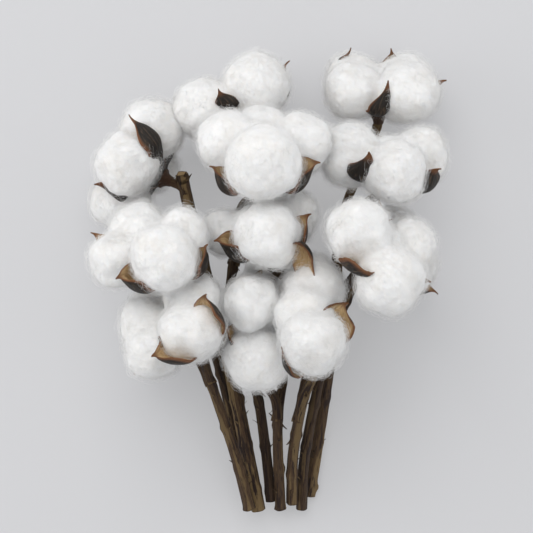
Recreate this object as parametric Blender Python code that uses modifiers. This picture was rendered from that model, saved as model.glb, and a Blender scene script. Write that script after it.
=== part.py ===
# Cotton stem bunch: eight dry woody stems that lie on a surface, carrying fourteen open cotton bolls.
# Metres, +Z up. The cut ends lie toward -Y and the bolls toward +Y; the bunch rests on z = 0.

import math
from collections import namedtuple

import bmesh
import bpy
from mathutils import Matrix, Vector

# Boll proportions
LOCK_RISE = 0.019            # the middles of the locks, above the boll's root along its axis
CORE_OVERLAP = 0.003         # how far the middle fluff reaches into the smallest lock
LOCK_SEGMENTS = 9
LOCK_RINGS = 6

# Husk proportions
VALVE_HALF_WIDTH = 0.0062    # the widest half of one woody valve
VALVE_THICKNESS = 0.0012
VALVE_KEEL = 0.0012          # how far a valve's middle rib stands out from its edges
VALVE_FOOT = -75             # degrees around the valve's curve where it starts, below the locks' middles
VALVE_TOP = 12               # and where it leaves the fluff, just above them
VALVE_SWELL = (0.30, 0.83)   # the part of a half wave that the valve's width follows
VALVE_ROWS = 5
VALVE_MIN_REACH = 0.0088     # the tightest curve that a valve makes
VALVE_MIN_MIDDLE = 0.002     # the nearest that a curve's middle comes to the axis
TIP_SHOULDER = (0.0026, 0.0030)   # the tip's bend, outward and upward from the valve's end
TIP_POINT = (0.0060, 0.0042)      # the tip's point, from the same end
TIP_HALF_WIDTH = 0.0005
DISC_RADIUS = 0.0046         # the woody disc where the valves meet
DISC_HALF_WIDTH = 0.0024
CORE_TO_DISC = 0.0022

# Gaps and stems
FLUFF_GAP = 0.0008           # valve to lock
SEAT_GAP = 0.0003            # stem end to husk disc
NECK = 0.005                 # the straight end of a stem, square to its husk
STEM_SAMPLES = 3             # points between two points of a route
STEM_EDGE = 50               # degrees past which a stem's edge stays sharp, as at its cut ends
WELD = 0.00001
CENTERING = Vector((-0.0032, -0.0018, 0.0))   # puts the origin under the middle of the bunch

# A boll: where its root is, the way its axis points (heading from +X in plan, lift above level, degrees),
# how far its locks' middles stand from the axis, and each lock as (angle from the top side, radius).
Boll = namedtuple("Boll", "root heading lift opening locks")

BOLLS = [
    Boll((-0.0540, 0.0595, 0.0396), 155, -11, 0.0225,
         ((-90, 0.0150), (-3, 0.0163), (76, 0.0167), (170, 0.0145))),
    Boll((-0.0108, 0.0875, 0.0353), 113, -5, 0.0200,
         ((-54, 0.0157), (48, 0.0169), (130, 0.0140), (220, 0.0140))),
    Boll((0.0002, 0.0571, 0.0838), 89, 23, 0.0228,
         ((-120, 0.0158), (-2, 0.0188), (116, 0.0148), (184, 0.0145))),
    Boll((0.0650, 0.0950, 0.0238), 89, 20, 0.0200,
         ((-50, 0.0151), (49, 0.0164), (135, 0.0150), (225, 0.0150))),
    Boll((0.0647, 0.0540, 0.0576), 83, 25, 0.0203,
         ((-83, 0.0161), (13, 0.0159), (114, 0.0142))),
    Boll((0.0520, 0.0104, 0.0878), 35, 33, 0.0204,
         ((-54, 0.0162), (40, 0.0165), (164, 0.0143))),
    Boll((0.0013, 0.0150, 0.0750), 105, 18, 0.0190,
         ((-112, 0.0120), (12, 0.0167), (103, 0.0142))),
    Boll((0.0150, -0.0125, 0.0240), 90, 0, 0.0130,
         ((0, 0.0108), (90, 0.0108), (180, 0.0108), (270, 0.0108))),
    Boll((-0.0537, 0.0074, 0.0810), 116, 31, 0.0190,
         ((-102, 0.0142), (15, 0.0170), (77, 0.0131), (187, 0.0153))),
    Boll((-0.0372, -0.0268, 0.0720), 149, 40, 0.0178,
         ((-96, 0.0143), (10, 0.0163), (75, 0.0141), (206, 0.0143))),
    Boll((-0.0032, -0.0359, 0.0532), 85, 48, 0.0197,
         ((1, 0.0167), (130, 0.0110), (198, 0.0146))),
    Boll((0.0257, -0.0289, 0.0884), 108, 42, 0.0200,
         ((0, 0.0157), (153, 0.0154), (265, 0.0100))),
    Boll((-0.0440, -0.0260, 0.0309), 165, -5, 0.0145,
         ((-40, 0.0120), (50, 0.0120), (140, 0.0120), (230, 0.0120))),
    Boll((0.0610, 0.0120, 0.0304), 28, 0, 0.0155,
         ((-45, 0.0130), (45, 0.0130), (135, 0.0130), (225, 0.0130))),
]

# A run of a stem: radius at its start and end, the points of its route, and the number of the boll
# that it carries (None for a cut top). The first run of a stem starts at its cut end, and a fork
# starts inside the first run.
Run = namedtuple("Run", "start_radius end_radius points boll")

STEMS = [
    [Run(0.0033, 0.0024, ((-0.0083, -0.126, 0.0208), (-0.016, -0.095, 0.034), (-0.027, -0.060, 0.050),
                          (-0.032, -0.044, 0.057)), 10),
     Run(0.0026, 0.0022, ((-0.029, -0.054, 0.0525), (-0.037, -0.038, 0.050), (-0.044, -0.020, 0.052),
                          (-0.048, -0.002, 0.064)), 9)],
    [Run(0.0030, 0.0024, ((-0.010, -0.120, 0.010), (-0.0175, -0.080, 0.019), (-0.025, -0.048, 0.024),
                          (-0.031, -0.033, 0.028)), 13)],
    [Run(0.0041, 0.0034, ((-0.0033, -0.128, 0.0143), (-0.0097, -0.095, 0.021), (-0.0205, -0.040, 0.032),
                          (-0.031, 0.000, 0.038), (-0.041, 0.040, 0.042), (-0.046, 0.064, 0.047)), None),
     Run(0.0026, 0.0024, ((-0.040, 0.038, 0.0415), (-0.045, 0.054, 0.042)), 1)],
    [Run(0.0030, 0.0024, ((0.0039, -0.123, 0.0130), (0.0005, -0.090, 0.020), (-0.005, -0.056, 0.029),
                          (-0.017, -0.024, 0.035), (-0.019, -0.004, 0.040), (-0.016, 0.020, 0.051),
                          (-0.014, 0.040, 0.057), (-0.006, 0.051, 0.068)), 3),
     Run(0.0025, 0.0023, ((-0.017, 0.012, 0.047), (-0.010, 0.042, 0.044), (-0.001, 0.072, 0.038)), 2)],
    [Run(0.0031, 0.0024, ((0.0095, -0.127, 0.0140), (0.008, -0.095, 0.028), (0.007, -0.066, 0.038),
                          (0.001, -0.054, 0.044)), 11),
     Run(0.0026, 0.0023, ((0.0073, -0.076, 0.0345), (0.011, -0.050, 0.032), (0.011, -0.032, 0.031)), 8)],
    [Run(0.0033, 0.0024, ((0.016, -0.124, 0.013), (0.0165, -0.095, 0.028), (0.0215, -0.064, 0.048),
                          (0.0275, -0.046, 0.068)), 12),
     Run(0.0025, 0.0022, ((0.0185, -0.076, 0.040), (0.025, -0.040, 0.039), (0.027, -0.014, 0.044),
                          (0.017, 0.001, 0.056)), 7)],
    [Run(0.0032, 0.0023, ((0.0215, -0.128, 0.0084), (0.023, -0.098, 0.018), (0.031, -0.052, 0.038),
                          (0.039, -0.020, 0.050), (0.044, -0.002, 0.064)), 6),
     Run(0.0025, 0.0022, ((0.034, -0.040, 0.0425), (0.044, -0.014, 0.034), (0.052, 0.002, 0.031)), 14)],
    [Run(0.0039, 0.0025, ((0.0256, -0.121, 0.0034), (0.0305, -0.090, 0.008), (0.038, -0.040, 0.018),
                          (0.042, -0.008, 0.020), (0.042, 0.020, 0.026), (0.050, 0.040, 0.042)), 5),
     Run(0.0026, 0.0023, ((0.042, 0.012, 0.0243), (0.046, 0.044, 0.020), (0.057, 0.070, 0.020)), 4)],
]


def clear_scene():
    for obj in list(bpy.data.objects):
        bpy.data.objects.remove(obj, do_unlink=True)


def new_collection(name):
    collection = bpy.data.collections.new(name)
    bpy.context.scene.collection.children.link(collection)
    return collection


def new_material(name, color, roughness):
    material = bpy.data.materials.new(name)
    material.use_nodes = True
    shader = material.node_tree.nodes["Principled BSDF"]
    shader.inputs["Base Color"].default_value = (*color, 1.0)
    shader.inputs["Roughness"].default_value = roughness
    shader.inputs["Metallic"].default_value = 0.0
    return material


def add_object(name, mesh, collection, material=None):
    obj = bpy.data.objects.new(name, mesh)
    collection.objects.link(obj)
    if material:
        mesh.materials.append(material)
    return obj


def boll_matrix(boll):
    # The boll's own frame: +Z is its axis and +X is the side that faces up.
    heading = math.radians(boll.heading)
    lift = math.radians(boll.lift)
    axis = Vector((math.cos(heading) * math.cos(lift), math.sin(heading) * math.cos(lift), math.sin(lift)))
    top = Vector((-math.cos(heading) * math.sin(lift), -math.sin(heading) * math.sin(lift), math.cos(lift)))
    side = axis.cross(top)
    rotation = Matrix((top, side, axis)).transposed().to_4x4()
    return Matrix.Translation(Vector(boll.root) + CENTERING) @ rotation


def lock_middle(boll, angle):
    turn = math.radians(angle)
    return Vector((boll.opening * math.cos(turn), boll.opening * math.sin(turn), LOCK_RISE))


def core_radius(boll):
    return boll.opening - min(radius for angle, radius in boll.locks) + CORE_OVERLAP


def valve_bends(boll):
    # One valve stands between each lock and the next: its direction, the distance of its curve's
    # middle from the axis, and the curve's radius, which clears both locks.
    bends = []
    for index, (angle, radius) in enumerate(boll.locks):
        next_angle, next_radius = boll.locks[(index + 1) % len(boll.locks)]
        if next_angle <= angle:
            next_angle += 360
        half = math.radians(next_angle - angle) / 2
        overhang = max(boll.opening * math.sin(half) - VALVE_HALF_WIDTH, 0.0)
        clear = max(radius, next_radius) + FLUFF_GAP
        reach = math.sqrt(max(clear ** 2 - overhang ** 2, VALVE_MIN_REACH ** 2))
        middle = max(boll.opening * math.cos(half), VALVE_MIN_MIDDLE)
        bends.append((math.radians(angle) + half, middle, reach))
    return bends


def disc_height(boll):
    reach = max(bend[2] for bend in valve_bends(boll))
    return LOCK_RISE - max(reach, core_radius(boll) + CORE_TO_DISC)


def valve_outline(boll, middle, reach):
    # Rows up one valve as (distance from the axis, height, half width, keel).
    rows = [(DISC_RADIUS, disc_height(boll), DISC_HALF_WIDTH, 0.0)]
    for index in range(VALVE_ROWS):
        share = (index + 1) / VALVE_ROWS
        bend = math.radians(VALVE_FOOT + (VALVE_TOP - VALVE_FOOT) * share)
        swell = VALVE_SWELL[0] + (VALVE_SWELL[1] - VALVE_SWELL[0]) * share
        width = VALVE_HALF_WIDTH * math.sin(math.pi * swell)
        rows.append((middle + reach * math.cos(bend), LOCK_RISE + reach * math.sin(bend), width, VALVE_KEEL))
    out, height = rows[-1][:2]
    rows.append((out + TIP_SHOULDER[0], height + TIP_SHOULDER[1], rows[-1][2] * 0.5, VALVE_KEEL / 2))
    rows.append((out + TIP_POINT[0], height + TIP_POINT[1], TIP_HALF_WIDTH, 0.0))
    return rows


def make_husk(name, boll, collection, material):
    # The open inner surface of the husk, a disc with one strip for each valve, thickened outward.
    mesh = bpy.data.meshes.new(name)
    bm = bmesh.new()
    rim = []
    for turn, middle, reach in valve_bends(boll):
        outward = Vector((math.cos(turn), math.sin(turn), 0.0))
        across = Vector((-math.sin(turn), math.cos(turn), 0.0))
        rows = valve_outline(boll, middle, reach)
        grid = []
        for index, (out, height, half_width, keel) in enumerate(rows):
            before = rows[max(index - 1, 0)]
            after = rows[min(index + 1, len(rows) - 1)]
            climb = Vector((after[0] - before[0], after[1] - before[1])).normalized()
            away = outward * climb[1] - Vector((0.0, 0.0, climb[0]))
            spine = outward * out + Vector((0.0, 0.0, height))
            grid.append([bm.verts.new(spine - across * half_width),
                         bm.verts.new(spine + away * keel),
                         bm.verts.new(spine + across * half_width)])
        for low, high in zip(grid, grid[1:]):
            bm.faces.new((low[0], low[1], high[1], high[0]))
            bm.faces.new((low[1], low[2], high[2], high[1]))
        rim.extend(grid[0])
    bm.faces.new(reversed(rim))
    bmesh.ops.recalc_face_normals(bm, faces=bm.faces)
    bm.faces.ensure_lookup_table()
    if bm.faces[-1].normal.z > 0:
        bmesh.ops.reverse_faces(bm, faces=bm.faces)
    bm.to_mesh(mesh)
    bm.free()
    husk = add_object(name, mesh, collection, material)
    husk.matrix_world = boll_matrix(boll)
    shell = husk.modifiers.new("Woody wall", "SOLIDIFY")
    shell.thickness = VALVE_THICKNESS
    shell.offset = 1.0
    return husk


def make_lobe(name, center, radius, collection):
    mesh = bpy.data.meshes.new(name)
    bm = bmesh.new()
    bmesh.ops.create_uvsphere(bm, u_segments=LOCK_SEGMENTS, v_segments=LOCK_RINGS, radius=radius,
                              matrix=Matrix.Translation(center))
    bm.to_mesh(mesh)
    bm.free()
    return add_object(name, mesh, collection)


def union(obj, others):
    # Joins the other solids to this one and keeps them only as hidden guides.
    for other in others:
        other.hide_render = True
        other.display_type = "WIRE"
        join = obj.modifiers.new("Join " + other.name, "BOOLEAN")
        join.operation = "UNION"
        join.solver = "EXACT"
        join.object = other


def make_cotton(name, boll, collection, guides, material):
    cotton = make_lobe(name, Vector((0.0, 0.0, LOCK_RISE)), core_radius(boll), collection)
    cotton.data.materials.append(material)
    cotton.data.shade_smooth()
    cotton.matrix_world = boll_matrix(boll)
    locks = []
    for number, (angle, radius) in enumerate(boll.locks, start=1):
        lock = make_lobe(f"{name}_lock_{number}", lock_middle(boll, angle), radius, guides)
        lock.matrix_world = boll_matrix(boll)
        locks.append(lock)
    union(cotton, locks)
    return cotton


def smooth_route(points):
    # A curve through every point of the route, whose last stretch is straight.
    knots = [points[0] * 2 - points[1], *points]
    route = []
    for p0, p1, p2, p3 in zip(knots, knots[1:], knots[2:], knots[3:]):
        for step in range(STEM_SAMPLES):
            t = step / STEM_SAMPLES
            route.append(0.5 * (2 * p1 + (p2 - p0) * t + (2 * p0 - 5 * p1 + 4 * p2 - p3) * t ** 2
                                + (3 * p1 - p0 - 3 * p2 + p3) * t ** 3))
    return route + points[-2:]


def run_points(run):
    points = [Vector(point) + CENTERING for point in run.points]
    if run.boll:
        boll = BOLLS[run.boll - 1]
        placed = boll_matrix(boll)
        end = disc_height(boll) - VALVE_THICKNESS - SEAT_GAP
        points.append(placed @ Vector((0.0, 0.0, end - NECK)))
        points.append(placed @ Vector((0.0, 0.0, end)))
    return smooth_route(points)


def make_run(name, run, collection):
    # A tapered woody rod along the run's route, turned from a curve into a closed mesh.
    route = run_points(run)
    curve = bpy.data.curves.new(name, "CURVE")
    curve.dimensions = "3D"
    curve.bevel_depth = 1.0
    curve.bevel_resolution = 1
    curve.use_fill_caps = True
    spline = curve.splines.new("POLY")
    spline.points.add(len(route) - 1)
    for index, point in enumerate(route):
        share = index / (len(route) - 1)
        spline.points[index].co = (*point, 1.0)
        spline.points[index].radius = run.start_radius + (run.end_radius - run.start_radius) * share
    guide = add_object(name, curve, collection)
    bpy.context.view_layer.update()
    evaluated = guide.evaluated_get(bpy.context.evaluated_depsgraph_get())
    mesh = bpy.data.meshes.new_from_object(evaluated)
    bm = bmesh.new()
    bm.from_mesh(mesh)
    bmesh.ops.remove_doubles(bm, verts=bm.verts, dist=WELD)
    bm.to_mesh(mesh)
    bm.free()
    rod = add_object(name + "_rod", mesh, collection)
    rod.matrix_world = guide.matrix_world
    bpy.data.objects.remove(guide, do_unlink=True)
    return rod


def make_stem(name, runs, collection, guides, material):
    stem = make_run(name, runs[0], collection)
    stem.name = name
    stem.data.name = name
    stem.data.materials.append(material)
    stem.data.shade_smooth()
    stem.data.set_sharp_from_angle(angle=math.radians(STEM_EDGE))
    forks = [make_run(f"{name}_fork_{number}", run, guides) for number, run in enumerate(runs[1:], start=1)]
    union(stem, forks)
    return stem


def main():
    clear_scene()
    bunch = new_collection("cotton_stem_bunch")
    guides = new_collection("joining_guides")
    cotton_material = new_material("Cotton fluff", (0.86, 0.85, 0.82), 0.95)
    husk_material = new_material("Dry husk", (0.085, 0.045, 0.025), 0.70)
    stem_material = new_material("Dry stem", (0.13, 0.085, 0.045), 0.80)
    for number, boll in enumerate(BOLLS, start=1):
        make_husk(f"husk_{number:02d}", boll, bunch, husk_material)
        make_cotton(f"cotton_{number:02d}", boll, bunch, guides, cotton_material)
    for number, runs in enumerate(STEMS, start=1):
        make_stem(f"stem_{number}", runs, bunch, guides, stem_material)


main()
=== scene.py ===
import math
import random
from collections import namedtuple

import bmesh
import bpy
import numpy as np
from mathutils import Matrix, Vector, noise


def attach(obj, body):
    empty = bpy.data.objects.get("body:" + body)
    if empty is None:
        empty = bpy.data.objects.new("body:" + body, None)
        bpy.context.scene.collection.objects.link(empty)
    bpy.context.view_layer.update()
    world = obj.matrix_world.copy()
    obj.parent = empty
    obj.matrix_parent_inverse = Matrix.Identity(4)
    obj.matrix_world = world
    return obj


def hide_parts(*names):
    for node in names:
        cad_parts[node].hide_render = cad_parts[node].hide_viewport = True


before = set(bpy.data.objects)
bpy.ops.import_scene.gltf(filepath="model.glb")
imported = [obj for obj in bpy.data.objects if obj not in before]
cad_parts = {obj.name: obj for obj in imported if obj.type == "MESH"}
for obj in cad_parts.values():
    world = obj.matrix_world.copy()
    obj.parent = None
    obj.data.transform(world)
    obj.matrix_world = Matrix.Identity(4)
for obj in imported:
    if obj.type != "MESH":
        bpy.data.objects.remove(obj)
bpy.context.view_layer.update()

print("frame loaded:", len(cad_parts), "nodes")

# how the bunch is laid out, in millimetres and degrees: the same roots and routes as the solids

centering = Vector((-0.0032, -0.0018, 0.0))

# a boll: its root, the way its axis points (heading, lift), how far its locks' middles stand from the
# axis, and each lock as (angle from the upper side, radius)
bollTable = [
    ((-54, 59.5, 39.6), 155, -11, 22.5, ((-90, 15), (-3, 16.3), (76, 16.7), (170, 14.5))),
    ((-10.8, 87.5, 35.3), 113, -5, 20, ((-54, 15.7), (48, 16.9), (130, 14), (220, 14))),
    ((0.2, 57.1, 83.8), 89, 23, 22.8, ((-120, 15.8), (-2, 18.8), (116, 14.8), (184, 14.5))),
    ((65, 95, 23.8), 89, 20, 20, ((-50, 15.1), (49, 16.4), (135, 15), (225, 15))),
    ((64.7, 54, 57.6), 83, 25, 20.3, ((-83, 16.1), (13, 15.9), (114, 14.2))),
    ((52, 10.4, 87.8), 35, 33, 20.4, ((-54, 16.2), (40, 16.5), (164, 14.3))),
    ((1.3, 15, 75), 105, 18, 19, ((-112, 12), (12, 16.7), (103, 14.2))),
    ((15, -12.5, 24), 90, 0, 13, ((0, 10.8), (90, 10.8), (180, 10.8), (270, 10.8))),
    ((-53.7, 7.4, 81), 116, 31, 19, ((-102, 14.2), (15, 17), (77, 13.1), (187, 15.3))),
    ((-37.2, -26.8, 72), 149, 40, 17.8, ((-96, 14.3), (10, 16.3), (75, 14.1), (206, 14.3))),
    ((-3.2, -35.9, 53.2), 85, 48, 19.7, ((1, 16.7), (130, 11), (198, 14.6))),
    ((25.7, -28.9, 88.4), 108, 42, 20, ((0, 15.7), (153, 15.4), (265, 10))),
    ((-44, -26, 30.9), 165, -5, 14.5, ((-40, 12), (50, 12), (140, 12), (230, 12))),
    ((61, 12, 30.4), 28, 0, 15.5, ((-45, 13), (45, 13), (135, 13), (225, 13))),
]

# a run of a stem: radius at its start and end, its route, and the boll it carries (None: a broken top)
stemTable = [
    [(3.3, 2.4, ((-8.3, -126, 20.8), (-16, -95, 34), (-27, -60, 50), (-32, -44, 57)), 10),
     (2.6, 2.2, ((-29, -54, 52.5), (-37, -38, 50), (-44, -20, 52), (-48, -2, 64)), 9)],
    [(3, 2.4, ((-10, -120, 10), (-17.5, -80, 19), (-25, -48, 24), (-31, -33, 28)), 13)],
    [(4.1, 3.4, ((-3.3, -128, 14.3), (-9.7, -95, 21), (-20.5, -40, 32), (-31, 0, 38), (-41, 40, 42),
                 (-46, 64, 47)), None),
     (2.6, 2.4, ((-40, 38, 41.5), (-45, 54, 42)), 1)],
    [(3, 2.4, ((3.9, -123, 13), (0.5, -90, 20), (-5, -56, 29), (-17, -24, 35), (-19, -4, 40),
               (-16, 20, 51), (-14, 40, 57), (-6, 51, 68)), 3),
     (2.5, 2.3, ((-17, 12, 47), (-10, 42, 44), (-1, 72, 38)), 2)],
    [(3.1, 2.4, ((9.5, -127, 14), (8, -95, 28), (7, -66, 38), (1, -54, 44)), 11),
     (2.6, 2.3, ((7.3, -76, 34.5), (11, -50, 32), (11, -32, 31)), 8)],
    [(3.3, 2.4, ((16, -124, 13), (16.5, -95, 28), (21.5, -64, 48), (27.5, -46, 68)), 12),
     (2.5, 2.2, ((18.5, -76, 40), (25, -40, 39), (27, -14, 44), (17, 1, 56)), 7)],
    [(3.2, 2.3, ((21.5, -128, 8.4), (23, -98, 18), (31, -52, 38), (39, -20, 50), (44, -2, 64)), 6),
     (2.5, 2.2, ((34, -40, 42.5), (44, -14, 34), (52, 2, 31)), 14)],
    [(3.9, 2.5, ((25.6, -121, 3.4), (30.5, -90, 8), (38, -40, 18), (42, -8, 20), (42, 20, 26),
                 (50, 40, 42)), 5),
     (2.6, 2.3, ((42, 12, 24.3), (46, 44, 20), (57, 70, 20)), 4)],
]

Boll = namedtuple("Boll", "root heading lift opening locks")
Run = namedtuple("Run", "startRadius endRadius points boll")


def metres(values):
    return tuple(value / 1000 for value in values)


bolls = [Boll(metres(root), heading, lift, opening / 1000, [(angle, size / 1000) for angle, size in locks])
         for root, heading, lift, opening, locks in bollTable]
stems = [[Run(start / 1000, end / 1000, [metres(point) for point in route], boll)
          for start, end, route, boll in runs] for runs in stemTable]

growth = {
    "lockRise": 0.019,        # the locks' middles above the boll's root
    "coreOverlap": 0.003,     # how far the middle of the fluff reaches into the locks
    "coreToDisc": 0.0022,
    "valveHalfWidth": 0.0062,
    "fluffGap": 0.0008,       # between a lock and a valve
    "minReach": 0.0088,       # the tightest bend of a valve
    "minMiddle": 0.002,
    "discRadius": 0.0046,
    "neck": 0.005,            # a stem runs straight for this far below its boll
    "wall": 0.0012,
    "seatGap": 0.0003,        # between a disc and the stem's end
}


def bollMatrix(boll):
    # the boll's own frame: +Z is its axis, +X its upper side
    heading, lift = math.radians(boll.heading), math.radians(boll.lift)
    axis = Vector((math.cos(heading) * math.cos(lift), math.sin(heading) * math.cos(lift), math.sin(lift)))
    top = Vector((-math.cos(heading) * math.sin(lift), -math.sin(heading) * math.sin(lift), math.cos(lift)))
    rotation = Matrix((top, axis.cross(top), axis)).transposed().to_4x4()
    return Matrix.Translation(Vector(boll.root) + centering) @ rotation


def coreRadius(boll):
    return boll.opening - min(radius for angle, radius in boll.locks) + growth["coreOverlap"]


def valveBends(boll):
    # (direction, middle of the valve's curve from the axis, its radius) between each lock and the next
    bends = []
    for index, (angle, radius) in enumerate(boll.locks):
        nextAngle, nextRadius = boll.locks[(index + 1) % len(boll.locks)]
        if nextAngle <= angle:
            nextAngle += 360
        half = math.radians(nextAngle - angle) / 2
        overhang = max(boll.opening * math.sin(half) - growth["valveHalfWidth"], 0.0)
        clear = max(radius, nextRadius) + growth["fluffGap"]
        reach = math.sqrt(max(clear ** 2 - overhang ** 2, growth["minReach"] ** 2))
        middle = max(boll.opening * math.cos(half), growth["minMiddle"])
        bends.append((math.radians(angle) + half, middle, reach))
    return bends


def discHeight(boll):
    reach = max(bend[2] for bend in valveBends(boll))
    return growth["lockRise"] - max(reach, coreRadius(boll) + growth["coreToDisc"])


def smoothStep(value, low, high):
    share = min(max((value - low) / (high - low), 0.0), 1.0)
    return share * share * (3 - 2 * share)


def settle(points, placed, depth=0.004):
    # points in a piece's own frame, pressed up where they come near the surface or would pass below it
    turn = np.array(placed.to_3x3())
    shift = np.array(placed.translation)
    world = points @ turn.T + shift
    low = world[..., 2] < depth
    world[low, 2] = depth * np.exp((world[low, 2] - depth) / depth)
    return (world - shift) @ turn


def addObject(name, data):
    made = bpy.data.objects.new(name, data)
    bpy.context.scene.collection.objects.link(made)
    return made


def newPiece(name, points, faces, material):
    mesh = bpy.data.meshes.new(name)
    mesh.from_pydata([tuple(p) for p in points], [], faces)
    mesh.shade_smooth()
    mesh.materials.append(material)
    return addObject(name, mesh)


def paint(piece, name, values):
    # three numbers for each point, which the material reads back
    layer = piece.data.color_attributes.new(name, "FLOAT_COLOR", "POINT")
    colors = np.ones((len(piece.data.vertices), 4), dtype=np.float32)
    colors[:, :3] = values
    layer.data.foreach_set("color", colors.ravel())


def gridFaces(rows, columns, start=0, wrap=False, flip=False):
    faces = []
    for row in range(rows - 1):
        for column in range(columns if wrap else columns - 1):
            nextColumn = (column + 1) % columns
            a = start + row * columns + column
            b = start + row * columns + nextColumn
            c = start + (row + 1) * columns + nextColumn
            d = start + (row + 1) * columns + column
            faces.append((a, d, c, b) if flip else (a, b, c, d))
    return faces


def join(whole, more):
    # adds one shell to a piece: points, then faces, then whatever is kept for each point
    start = len(whole[0])
    whole[1].extend(tuple(start + corner for corner in face) for face in more[1])
    for kept, added in zip((whole[0], *whole[2:]), (more[0], *more[2:])):
        kept.extend(added)


def fan(faces, tip, start, sides, flip=False):
    # closes a ring with triangles to one point
    for side in range(sides):
        pair = (start + side, start + (side + 1) % sides)
        faces.append((tip, *(pair[::-1] if flip else pair)))


def evenly(points, count=None, step=None):
    # the same line as points at equal distances, and its length
    points = np.array(points)
    lengths = np.concatenate([[0], np.cumsum(np.linalg.norm(np.diff(points, axis=0), axis=1))])
    at = np.linspace(0, lengths[-1], count or max(int(lengths[-1] / step), 8))
    return np.stack([np.interp(at, lengths, column) for column in points.T], axis=1), lengths[-1]


def readAll(items, name, width, kind=float):
    values = np.empty(len(items) * width, dtype=kind)
    items.foreach_get(name, values)
    return values.reshape(-1, width)


def feed(socket, value):
    # a link from another node, or a fixed value
    if isinstance(value, bpy.types.NodeSocket):
        socket.id_data.links.new(value, socket)
    else:
        socket.default_value = (*value, 1) if socket.type == "RGBA" else value


def setInputs(made, **inputs):
    for name, value in inputs.items():
        feed(made.inputs[name.replace("_", " ")], value)


def node(tree, kind, **inputs):
    # the nodes stand in rows of six, in the order in which they are made
    row, column = divmod(len(tree.nodes), 6)
    made = tree.nodes.new(kind)
    made.location = (column * 220 - 1400, 600 - row * 280)
    setInputs(made, **inputs)
    return made


def rampOf(tree, stops, source):
    ramp = node(tree, "ShaderNodeValToRGB", Fac=source)
    elements = ramp.color_ramp.elements
    while len(elements) > 1:
        elements.remove(elements[-1])
    elements[0].position, elements[0].color = stops[0][0], (*stops[0][1], 1)
    for position, color in stops[1:]:
        elements.new(position).color = (*color, 1)
    return ramp.outputs["Color"]


def mixColor(tree, factor, first, second):
    mix = node(tree, "ShaderNodeMix")
    mix.data_type = "RGBA"
    for index, value in ((0, factor), (6, first), (7, second)):
        feed(mix.inputs[index], value)
    return mix.outputs[2]


def math2(tree, operation, first, second):
    made = node(tree, "ShaderNodeMath")
    made.operation = operation
    feed(made.inputs[0], first)
    feed(made.inputs[1], second)
    return made.outputs[0]


def noiseOf(tree, vector, scale, detail, rough, stretch=None):
    if stretch:
        vector = node(tree, "ShaderNodeMapping", Vector=vector, Scale=stretch).outputs["Vector"]
    made = node(tree, "ShaderNodeTexNoise", Vector=vector, Scale=scale, Detail=detail, Roughness=rough)
    return made.outputs["Fac"]


def newMaterial(name):
    material = bpy.data.materials.new(name)
    material.use_nodes = True
    tree = material.node_tree
    return material, tree, tree.nodes["Principled BSDF"]


def mappedShare(tree, source, span):
    made = node(tree, "ShaderNodeMapRange", Value=source, From_Min=span[0], From_Max=span[1])
    made.interpolation_type = "SMOOTHSTEP"
    return made.outputs["Result"]


def makeStreaks():
    # streaks along a dry plant surface, as a group: fine fibres over broad patches
    group = bpy.data.node_groups.new("dryStreaks", "ShaderNodeTree")
    face = group.interface
    face.new_socket("Vector", in_out="INPUT", socket_type="NodeSocketVector")
    for name, value in (("Fibre Scale", 40.0), ("Patch Scale", 3.0), ("Contrast", 2.0)):
        socket = face.new_socket(name, in_out="INPUT", socket_type="NodeSocketFloat")
        socket.default_value = value
    face.new_socket("Fibres", in_out="OUTPUT", socket_type="NodeSocketFloat")
    face.new_socket("Patches", in_out="OUTPUT", socket_type="NodeSocketFloat")
    given = node(group, "NodeGroupInput").outputs
    result = node(group, "NodeGroupOutput")
    result.location = (0, 600)
    tones = (("Fibres", "Fibre Scale", 5.0, 0.62), ("Patches", "Patch Scale", 3.0, 0.55))
    for name, scale, detail, rough in tones:
        tone = noiseOf(group, given["Vector"], given[scale], detail, rough)
        tone = math2(group, "SUBTRACT", tone, 0.5)
        tone = math2(group, "MULTIPLY", tone, given["Contrast"])
        tone = math2(group, "ADD", tone, 0.5)
        feed(result.inputs[name], node(group, "ShaderNodeClamp", Value=tone).outputs[0])
    return group


dryStreaks = makeStreaks()


def streaksIn(tree, vector, look):
    made = node(tree, "ShaderNodeGroup")
    made.node_tree = dryStreaks
    setInputs(made, Vector=vector, Contrast=look["contrast"])
    setInputs(made, Fibre_Scale=look["fibreScale"], Patch_Scale=look["patchScale"])
    return made.outputs["Fibres"], made.outputs["Patches"]


def readMarks(tree, name):
    # the shares painted on each point, split, and its place in the grain that runs along the piece
    marks, along = node(tree, "ShaderNodeAttribute"), node(tree, "ShaderNodeAttribute")
    marks.attribute_name, along.attribute_name = name, "grainAt"
    split = node(tree, "ShaderNodeSeparateColor", Color=marks.outputs["Color"])
    return split.outputs, along.outputs["Vector"]


def roughenBy(tree, shader, patches, look):
    # a little rougher where the patches are bright
    spread = math2(tree, "MULTIPLY", patches, look["roughSpread"])
    setInputs(shader, Roughness=math2(tree, "ADD", spread, look["roughness"]))


def bumpInto(tree, shader, height, strength, distance):
    bump = node(tree, "ShaderNodeBump", Height=height, Strength=strength, Distance=distance)
    setInputs(shader, Normal=bump.outputs["Normal"])


lintLook = {
    "body": ((0.86, 0.845, 0.82), (0.90, 0.895, 0.885)),       # painted shade for the hollows of the bump, then the lighter tops
    # painted light: the loose fibres take a lighter copy of the tones, to lift the shade that falls on them
    "fibre": ((0.93, 0.92, 0.90), (0.97, 0.965, 0.955)),
    "paintedHollowShadeAt": 0.34,         # where the clouds turn from the painted hollow shade to the tops
    "paintedTopLightAt": 0.52,
    "cloudScale": 60.0,
    "cloudBump": 0.8,
    "wispScale": 420.0,
    "bump": 0.15,
    "bumpDepth": 0.0012,
    "roughness": 0.92,
    "specular": 0.15,
    "sheen": 0.30,
    "sheenRoughness": 0.6,
    "scatter": 0.40,
    "scatterRadius": (0.0055, 0.0050, 0.0045),
}


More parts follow.
